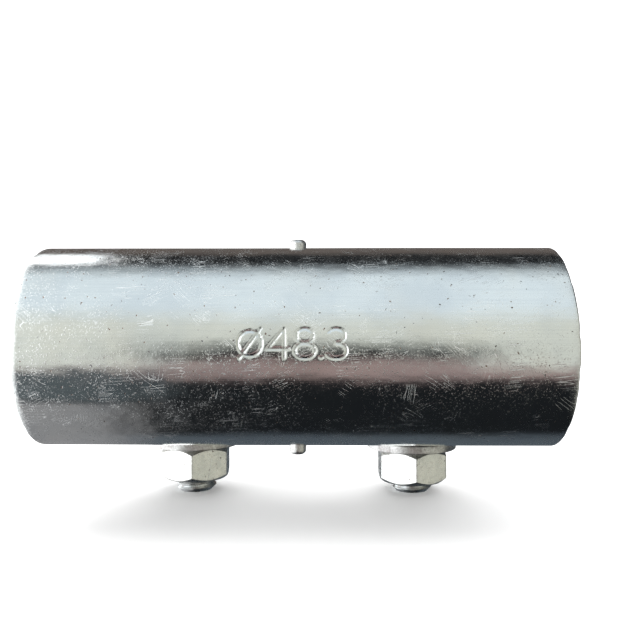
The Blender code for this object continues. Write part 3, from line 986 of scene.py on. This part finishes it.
class Wiring:
    """Adds nodes to a tree and joins them."""

    def __init__(self, tree: bpy.types.NodeTree) -> None:
        """Start on an empty tree."""
        self.tree = tree
        tree.nodes.clear()

    def node(self, kind: str, **settings: object) -> bpy.types.Node:
        """Add a node and set its properties.

        Args:
            kind: The node's type.
            settings: Its properties by name.

        Returns:
            The node.
        """
        made = self.tree.nodes.new(kind)
        for key, setting in settings.items():
            setattr(made, key, setting)
        return made

    def feed(self, socket: bpy.types.NodeSocket, source: object) -> None:
        """Link a socket to an output, or give it a constant.

        Args:
            socket: The input.
            source: An output, a constant, or None to leave it.
        """
        if isinstance(source, bpy.types.NodeSocket):
            self.tree.links.new(source, socket)
        elif source is not None:
            socket.default_value = source

    def math(self, operation: str, *sources: object) -> bpy.types.NodeSocket:
        """Arithmetic on outputs or numbers.

        Args:
            operation: The operation's name.
            sources: Its operands, in order.

        Returns:
            The result.
        """
        made = self.node("ShaderNodeMath", operation=operation)
        for socket, source in zip(made.inputs, sources):
            self.feed(socket, source)
        return made.outputs[0]

    def step(
        self,
        source: bpy.types.NodeSocket,
        low: float,
        high: float,
        start: float = 0.0,
        end: float = 1.0,
    ) -> bpy.types.NodeSocket:
        """A smooth step of the source from low to high, mapped to start and end.

        Args:
            source: The value that is stepped.
            low: Where the step begins.
            high: Where it is complete; it may be under low.
            start: The result before the step.
            end: The result after it.

        Returns:
            The stepped value.
        """
        made = self.node("ShaderNodeMapRange", interpolation_type="SMOOTHSTEP")
        for socket, value in zip(made.inputs, (source, low, high, start, end)):
            self.feed(socket, value)
        return made.outputs[0]

    def blend(self, share: object, first: object, second: object, mode: str = "MIX") -> bpy.types.NodeSocket:
        """A mix of two colours: the first times one minus the share, plus the second times the share.

        Args:
            share: The second colour's share.
            first: The colour at share 0.
            second: The colour at share 1.
            mode: How they mix.

        Returns:
            The mixed colour.
        """
        made = self.node("ShaderNodeMix", data_type="RGBA", blend_type=mode)
        for socket, source in zip((made.inputs[0], made.inputs[6], made.inputs[7]), (share, first, second)):
            self.feed(socket, source)
        return made.outputs[2]

    def placed(
        self,
        vector: bpy.types.NodeSocket,
        scale: tuple[float, float, float],
        turn: float = 0.0,
        shift: float = 0.0,
    ) -> bpy.types.NodeSocket:
        """The vector turned about Z, then stretched.

        Args:
            vector: The coordinates.
            scale: The stretch along each axis.
            turn: The turn in degrees.
            shift: A move in metres, so that two patterns don't coincide.

        Returns:
            The placed coordinates.
        """
        turned = self.node("ShaderNodeMapping")
        self.feed(turned.inputs["Vector"], vector)
        turned.inputs["Rotation"].default_value = (0, 0, math.radians(turn))
        turned.inputs["Location"].default_value = (shift, shift * 0.37, shift * 0.71)
        stretched = self.node("ShaderNodeMapping")
        self.feed(stretched.inputs["Vector"], turned.outputs[0])
        stretched.inputs["Scale"].default_value = scale
        return stretched.outputs[0]

    def noise(
        self, vector: bpy.types.NodeSocket, scale: float, detail: float = 2.0, rough: float = 0.5
    ) -> bpy.types.NodeSocket:
        """Cloudy noise from 0 to 1.

        Args:
            vector: The coordinates.
            scale: Clouds per metre.
            detail: Octaves of finer clouds.
            rough: How strong each finer octave is.

        Returns:
            The noise.
        """
        made = self.node("ShaderNodeTexNoise")
        self.feed(made.inputs["Vector"], vector)
        made.inputs["Scale"].default_value = scale
        made.inputs["Detail"].default_value = detail
        made.inputs["Roughness"].default_value = rough
        return made.outputs["Fac"]

    def dots(
        self, vector: bpy.types.NodeSocket, scale: float, radius: float
    ) -> tuple[bpy.types.NodeSocket, bpy.types.NodeSocket]:
        """Sparse round dots.

        Args:
            vector: The coordinates.
            scale: Cells per metre.
            radius: A dot's radius as a share of a cell.

        Returns:
            The dots' cover, and each one's random colour.
        """
        made = self.node("ShaderNodeTexVoronoi")
        self.feed(made.inputs["Vector"], vector)
        made.inputs["Scale"].default_value = scale
        cover = self.step(made.outputs["Distance"], radius, radius * 0.45)
        return cover, made.outputs["Color"]

    def warped(self, vector: bpy.types.NodeSocket, scale: float, reach: float) -> bpy.types.NodeSocket:
        """The vector shaken by coloured noise, up to about half the reach each way.

        Args:
            vector: The coordinates.
            scale: Clouds per metre.
            reach: The whole swing in metres.

        Returns:
            The shaken coordinates.
        """
        made = self.node("ShaderNodeTexNoise")
        self.feed(made.inputs["Vector"], vector)
        made.inputs["Scale"].default_value = scale
        centred = self.node("ShaderNodeVectorMath", operation="SUBTRACT")
        self.feed(centred.inputs[0], made.outputs["Color"])
        centred.inputs[1].default_value = (0.5, 0.5, 0.5)
        sized = self.node("ShaderNodeVectorMath", operation="MULTIPLY_ADD")
        self.feed(sized.inputs[0], centred.outputs[0])
        sized.inputs[1].default_value = (reach, reach, reach)
        self.feed(sized.inputs[2], vector)
        return sized.outputs[0]


@dataclass(frozen=True)
class PlatedFinish:
    """Zinc plating on steel: cloudy tint, streaks, crossing scratches, specks and rubbed edges."""

    name: str
    layout: Layout
    tint: tuple[float, float, float] = (0.80, 0.81, 0.79)
    cloud: tuple[float, float, float] = (0.70, 0.72, 0.72)
    speck: tuple[float, float, float] = (0.24, 0.15, 0.09)
    roughness: float = 0.1
    haze: float = 0.1
    scratches: float = 1.0
    specks: float = 1.0
    mottle: float = 0.0
    bump: float = 1.0
    grain: float = 1.0
    edge_wear: float = 0.4
    swell: float = 0.00028
    fineness: float = 1.0

    def scratch_layer(
        self,
        w: Wiring,
        vector: bpy.types.NodeSocket,
        turn: float,
        across: float,
        length: float,
        rarity: float,
    ) -> bpy.types.NodeSocket:
        """Thin lines where stretched noise crosses its middle, kept only in patches.

        Args:
            w: The wiring.
            vector: Coordinates in metres.
            turn: Direction of the lines in degrees.
            across: Lines per metre, across them.
            length: Repeats per metre along them.
            rarity: Noise level under which there are none.

        Returns:
            The cover of the scratches.
        """
        stretched = w.placed(vector, (length, across, length), turn, 0.013 * turn)
        ridge = w.math("ABSOLUTE", w.math("SUBTRACT", w.noise(stretched, 1.0, 0.0), 0.5))
        line = w.step(ridge, 0.012, 0.003)
        patch_cloud = w.noise(w.placed(vector, (1, 1, 1), turn + 20, 0.05 * turn), 110, 2)
        patch = w.step(patch_cloud, rarity, rarity + 0.07)
        return w.math("MULTIPLY", line, patch)

    def make(self) -> bpy.types.Material:
        """Build the finish's nodes.

        Returns:
            The material.
        """
        material = bpy.data.materials.new(self.name)
        material.use_nodes = True
        w = Wiring(material.node_tree)
        place = w.node("ShaderNodeTexCoord")
        vector = place.outputs["UV" if self.layout is Layout.SHEET else "Object"]
        edge = w.node("ShaderNodeAttribute", attribute_name="edge").outputs["Fac"]
        cloud = w.step(w.noise(vector, 45 * self.fineness, 3, 0.6), 0.38, 0.66)
        fine = w.noise(vector, 900, 3, 0.6)
        streak = w.noise(w.placed(vector, (28, 2600, 2600)), 1.0, 3, 0.55)
        patches = w.step(w.noise(w.placed(vector, (1, 1, 1), 5, 0.2), 75, 3, 0.6), 0.36, 0.66, 0.4, 1.0)
        grain_cloud = w.noise(w.placed(vector, (1, 1, 1), 31, 0.1), 2300, 2, 0.7)
        grain = w.step(grain_cloud, 0.56, 0.72, 0.0, self.grain)
        grain = w.math("MULTIPLY", grain, patches)
        layers = [(3, 1700, 90, 0.56), (-38, 1100, 120, 0.6), (27, 1300, 140, 0.6), (84, 1300, 160, 0.62)]
        marks = [self.scratch_layer(w, vector, *layer) for layer in layers]
        scratch = marks[0]
        for mark in marks[1:]:
            scratch = w.math("MAXIMUM", scratch, mark)
        scratch = w.math("MULTIPLY", scratch, self.scratches)
        cover, dot_tint = w.dots(w.warped(vector, 1400, 0.0012), 900, 0.24)
        dot_kind = w.node("ShaderNodeSeparateColor")
        w.feed(dot_kind.inputs[0], dot_tint)
        kept = w.step(dot_kind.outputs[0], 0.8, 0.88, 0.0, self.specks)
        speck = w.math("MULTIPLY", cover, kept)
        stain_cloud = w.noise(w.placed(vector, (1, 1.6, 1.6), 12, 0.3), 160 * self.fineness, 4, 0.65)
        stain = w.step(stain_cloud, 0.52, 0.72, 0.0, self.mottle)

        colour = w.blend(cloud, (*self.tint, 1), (*self.cloud, 1))
        warm = w.step(w.noise(w.placed(vector, (1, 1, 1), 50, 0.4), 70, 2), 0.45, 0.75, 0.0, 0.35)
        colour = w.blend(warm, colour, (0.80, 0.77, 0.70, 1))
        colour = w.blend(w.step(streak, 0.35, 0.75, 0.0, 0.25), colour, (0.60, 0.62, 0.64, 1))
        colour = w.blend(stain, colour, (0.34, 0.25, 0.22, 1))
        speck_tint = w.blend(dot_kind.outputs[1], (*self.speck, 1), (0.12, 0.12, 0.13, 1))
        colour = w.blend(speck, colour, speck_tint)
        colour = w.blend(w.math("MULTIPLY", scratch, 0.7), colour, (0.93, 0.93, 0.92, 1))
        bare = w.step(w.noise(w.placed(vector, (1, 1, 1), 17, 0.2), 1500, 3, 0.7), 0.44, 0.6)
        worn = w.math("MULTIPLY", edge, self.edge_wear)
        colour = w.blend(worn, colour, w.blend(bare, (0.42, 0.41, 0.40, 1), (0.84, 0.84, 0.83, 1)))
        rough = w.step(w.noise(vector, 260, 4, 0.6), 0.3, 0.75, self.roughness, self.roughness + self.haze)
        rough = w.math("ADD", rough, w.math("MULTIPLY", scratch, 0.36))
        rough = w.math("ADD", rough, w.math("MULTIPLY", grain, 0.3))
        rough = w.math("ADD", rough, w.math("MULTIPLY", speck, 0.3))
        rough = w.math("ADD", rough, w.math("MULTIPLY", worn, 0.25))
        rough = w.math("ADD", rough, w.math("MULTIPLY", stain, 0.25))
        if self.layout is Layout.SHEET:
            floor = w.node("ShaderNodeAttribute", attribute_name="mark").outputs["Fac"]
            rough = w.math("ADD", rough, w.math("MULTIPLY", floor, 0.06))
            # The stamped mark's recessed floor is painted darker here: painted shade in the strokes.
            colour = w.blend(w.math("MULTIPLY", floor, 0.35), colour, (0.5, 0.51, 0.5, 1))

        height = w.math("MULTIPLY", streak, 0.4)
        height = w.math("ADD", height, w.math("MULTIPLY", fine, 0.7))
        height = w.math("ADD", height, w.math("MULTIPLY", grain, 1.2))
        height = w.math("SUBTRACT", height, w.math("MULTIPLY", scratch, 1.1))
        height = w.math("SUBTRACT", height, w.math("MULTIPLY", speck, 1.5))
        height = w.math("ADD", height, w.math("MULTIPLY", w.math("MULTIPLY", worn, bare), 0.7))
        swell = w.node("ShaderNodeBump")
        swell.inputs["Strength"].default_value = 1.0
        swell.inputs["Distance"].default_value = self.swell
        w.feed(swell.inputs["Height"], w.noise(w.placed(vector, (0.55, 1, 1)), 90, 3, 0.5))
        bump = w.node("ShaderNodeBump")
        w.feed(bump.inputs["Normal"], swell.outputs[0])
        bump.inputs["Strength"].default_value = 0.35 * self.bump
        bump.inputs["Distance"].default_value = 0.00004
        w.feed(bump.inputs["Height"], height)
        shader = w.node("ShaderNodeBsdfPrincipled")
        shader.inputs["Metallic"].default_value = 1.0
        w.feed(shader.inputs["Base Color"], colour)
        w.feed(shader.inputs["Roughness"], rough)
        w.feed(shader.inputs["Normal"], bump.outputs[0])
        out = w.node("ShaderNodeOutputMaterial")
        w.feed(out.inputs["Surface"], shader.outputs[0])
        return material


SHELL_PLATE = PlatedFinish("bright_plated_sheet", Layout.SHEET)
BOLT_PLATE = PlatedFinish(
    "plated_forging", Layout.SOLID, (0.70, 0.71, 0.70), (0.52, 0.54, 0.54),
    roughness=0.2, haze=0.14, scratches=0.7, mottle=0.5, bump=1.6, fineness=3.0,
)
WASHER_PLATE = PlatedFinish(
    "plated_washer_steel", Layout.SOLID, (0.62, 0.62, 0.60), (0.22, 0.20, 0.20),
    roughness=0.2, haze=0.16, scratches=0.8, mottle=0.6, bump=1.6, fineness=4.0,
)
NUT_PLATE = PlatedFinish(
    "plated_nut_steel", Layout.SOLID, (0.82, 0.82, 0.78), (0.70, 0.71, 0.68),
    roughness=0.2, haze=0.12, scratches=0.8, mottle=0.22, bump=2.0, fineness=3.0,
)
PIN_STEEL = PlatedFinish(
    "drawn_pin_steel", Layout.SOLID, (0.72, 0.72, 0.71), (0.55, 0.55, 0.54),
    roughness=0.24, haze=0.1, scratches=0.6, mottle=0.25, bump=1.2, fineness=3.0,
)


@dataclass(frozen=True)
class SoftPanel:
    """A soft sheet or card that the plating mirrors.

    Its height is the angle over the top from the front horizon, in degrees: 0 is level in front,
    90 overhead, -90 straight down, and 180 level behind. Its side is the direction's share along X.
    """

    name: str
    low: float
    high: float
    edge: float
    colour: tuple[float, float, float]
    side_clear: float | None = None
    side_full: float = 0.0

    def cover(self, w: Wiring, over: bpy.types.NodeSocket, x: bpy.types.NodeSocket) -> bpy.types.NodeSocket:
        """How much of this panel a direction sees.

        Args:
            w: The wiring of the world.
            over: The direction's angle over the top, in degrees.
            x: The direction's share along X.

        Returns:
            The cover, from 0 to 1.
        """
        rise = w.step(over, self.low - self.edge, self.low + self.edge)
        fall = w.step(over, self.high + self.edge, self.high - self.edge)
        cover = w.math("MULTIPLY", rise, fall)
        if self.side_clear is None:
            return cover
        return w.math("MULTIPLY", cover, w.step(x, self.side_clear, self.side_full))


STUDIO_PANELS = (
    SoftPanel("back_wall", 134, 200, 8, (0.13, 0.11, 0.10)),
    SoftPanel("floor_behind", -200, -118, 10, (0.09, 0.11, 0.13)),
    SoftPanel("front_card", 4, 60, 12, (0.76, 0.79, 0.73)),
    SoftPanel("rose_card", -34, -12, 7, (0.36, 0.27, 0.26)),
    SoftPanel("overhead_sheet", 36, 98, 16, (0.84, 0.95, 1.02)),
    SoftPanel("left_front_card", -24, 32, 8, (0.80, 0.83, 0.77), -0.18, -0.32),
    SoftPanel("left_dark_screen", -60, -25, 6, (0.10, 0.12, 0.13), -0.18, -0.32),
    SoftPanel("left_grey_wing", -200, -63, 6, (0.30, 0.30, 0.31), -0.22, -0.33),
    SoftPanel("left_window", 110, 134, 6, (1.90, 1.95, 2.00), -0.29, -0.33),
    SoftPanel("right_front_card", -22, 32, 8, (0.74, 0.77, 0.71), 0.14, 0.28),
    SoftPanel("left_lamp", -200, 200, 6, (2.30, 2.35, 2.40), -0.45, -0.62),
    SoftPanel("right_card", -80, 60, 12, (0.62, 0.62, 0.54), 0.45, 0.62),
    SoftPanel("right_dark_wall", 60, 200, 12, (0.03, 0.035, 0.04), 0.45, 0.62),
)


@dataclass(frozen=True)
class Studio:
    """Soft light tents round the coupler, a pale floor and the camera."""

    room: tuple[float, float, float, float] = (0.012, 0.014, 0.016, 1)
    plain_strength: float = 1.7
    floor_z: float = -0.0517
    camera_place: tuple[float, float, float] = (0.0094, -0.200, 0.010)
    camera_turn: float = 0.0154
    lens: float = 39.25
    shift_y: float = -0.0139

    def build_tents(self) -> None:
        """Wire the surroundings: the plating mirrors the panels, and all else sees plain white."""
        world = bpy.data.worlds.new("soft_panels")
        world.use_nodes = True
        bpy.context.scene.world = world
        w = Wiring(world.node_tree)
        direction = w.node("ShaderNodeSeparateXYZ")
        w.feed(direction.inputs[0], w.node("ShaderNodeTexCoord").outputs["Generated"])
        x, y, z = direction.outputs
        radians_over = w.math("ARCTAN2", z, w.math("MULTIPLY", y, -1.0))
        over = w.math("MULTIPLY", radians_over, math.degrees(1.0))
        colour = self.room
        for panel in STUDIO_PANELS:
            colour = w.blend(panel.cover(w, over, x), colour, (*panel.colour, 1))
        panels = w.node("ShaderNodeBackground")
        w.feed(panels.inputs[0], colour)
        plain = w.node("ShaderNodeBackground")
        plain.inputs[0].default_value = (1.0, 1.0, 1.0, 1)
        plain.inputs[1].default_value = self.plain_strength
        rays = w.node("ShaderNodeLightPath")
        mixed = w.node("ShaderNodeMixShader")
        w.feed(mixed.inputs[0], rays.outputs["Is Glossy Ray"])
        w.feed(mixed.inputs[1], plain.outputs[0])
        w.feed(mixed.inputs[2], panels.outputs[0])
        out = w.node("ShaderNodeOutputWorld")
        w.feed(out.inputs["Surface"], mixed.outputs[0])

    def build_floor(self) -> None:
        """A wide pale disc under the bolts' ends."""
        angle = np.linspace(0, 2 * math.pi, 96, endpoint=False)
        rim = np.stack([3 * np.cos(angle), 3 * np.sin(angle), np.full(96, self.floor_z)], axis=-1)
        mesh = bpy.data.meshes.new("pale_floor")
        mesh.from_pydata(rim.tolist(), [], [list(range(96))])
        floor = bpy.data.objects.new("pale_floor", mesh)
        bpy.context.scene.collection.objects.link(floor)
        material = bpy.data.materials.new("pale_floor_paint")
        material.use_nodes = True
        w = Wiring(material.node_tree)
        shader = w.node("ShaderNodeBsdfPrincipled")
        shader.inputs["Base Color"].default_value = (0.96, 0.96, 0.96, 1)
        shader.inputs["Roughness"].default_value = 0.9
        shader.inputs["Specular IOR Level"].default_value = 0.1
        out = w.node("ShaderNodeOutputMaterial")
        w.feed(out.inputs["Surface"], shader.outputs[0])
        mesh.materials.append(material)
        floor.visible_glossy = False

    def build_lamp(self) -> None:
        """One broad soft lamp overhead, a little to the front, for the floor's shadow."""
        lamp = bpy.data.lights.new("overhead_softbox", "AREA")
        lamp.shape = "DISK"
        lamp.size = 0.9
        lamp.energy = 4.0
        holder = bpy.data.objects.new("overhead_softbox", lamp)
        holder.location = (-0.15, -0.25, 0.9)
        holder.rotation_euler = (math.radians(-15), math.radians(-9), 0)
        holder.visible_glossy = False
        bpy.context.scene.collection.objects.link(holder)

    def build_camera(self) -> None:
        """A level camera in front of the sleeve."""
        data = bpy.data.cameras.new("front_camera")
        data.lens = self.lens
        data.sensor_width = 36
        data.clip_start = 0.01
        data.shift_y = self.shift_y
        camera = bpy.data.objects.new("front_camera", data)
        camera.location = self.camera_place
        camera.rotation_euler = (math.radians(90), 0, self.camera_turn)
        bpy.context.scene.collection.objects.link(camera)
        bpy.context.scene.camera = camera

    def build(self) -> None:
        """Set up everything that isn't the coupler."""
        self.build_tents()
        self.build_floor()
        self.build_lamp()
        self.build_camera()
        bpy.context.scene.view_settings.view_transform = "Standard"


class Fitter:
    """Dresses each piece and hangs it on its body."""

    def __init__(self) -> None:
        """Start with no finish made."""
        self.made: dict[str, bpy.types.Material] = {}

    def fit(self, piece: bpy.types.Object, finish: PlatedFinish, body: str, node: str) -> None:
        """Give a piece its finish and body, and hide the plain solid it stands for.

        Args:
            piece: The finished mesh object.
            finish: Its plating.
            body: The body that carries it.
            node: The plain solid it stands for.
        """
        if finish.name not in self.made:
            self.made[finish.name] = finish.make()
        piece.data.materials.clear()
        piece.data.materials.append(self.made[finish.name])
        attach(piece, body)
        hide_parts(node)
        triangles = sum(len(face.vertices) - 2 for face in piece.data.polygons)
        log.info("%s on %s: %d triangles", piece.name, body, triangles)


def main() -> None:
    """Build the studio, the shells, the stop and pin, and both bolt sets."""
    logging.basicConfig(level=logging.INFO, format="%(name)s: %(message)s")
    Studio().build()
    fitter = Fitter()
    front = FrontShell()
    fitter.fit(front.build(), SHELL_PLATE, "front_half", "front_shell")
    fitter.fit(RearShell().build(), SHELL_PLATE, "rear_half", "rear_shell")
    bars = StopAndPin()
    fitter.fit(bars.stop(), PIN_STEEL, "front_half", "centre_stop")
    fitter.fit(bars.pin(front.hinge()), PIN_STEEL, "front_half", "hinge_pin")
    for bolts in (BoltSet(side=Side.LEFT),
                  BoltSet(side=Side.RIGHT, washer_top=-33.7 * MM, nut_top=-37.0 * MM, corner_turn=1.5)):
        word = bolts.side.word
        fitter.fit(bolts.bolt(), BOLT_PLATE, f"bolt_{word}", f"t_bolt_{word}")
        fitter.fit(bolts.washer(), WASHER_PLATE, f"washer_{word}", f"washer_{word}")
        fitter.fit(bolts.nut(), NUT_PLATE, f"nut_{word}", f"nut_{word}")


if __name__ == "__main__":
    main()
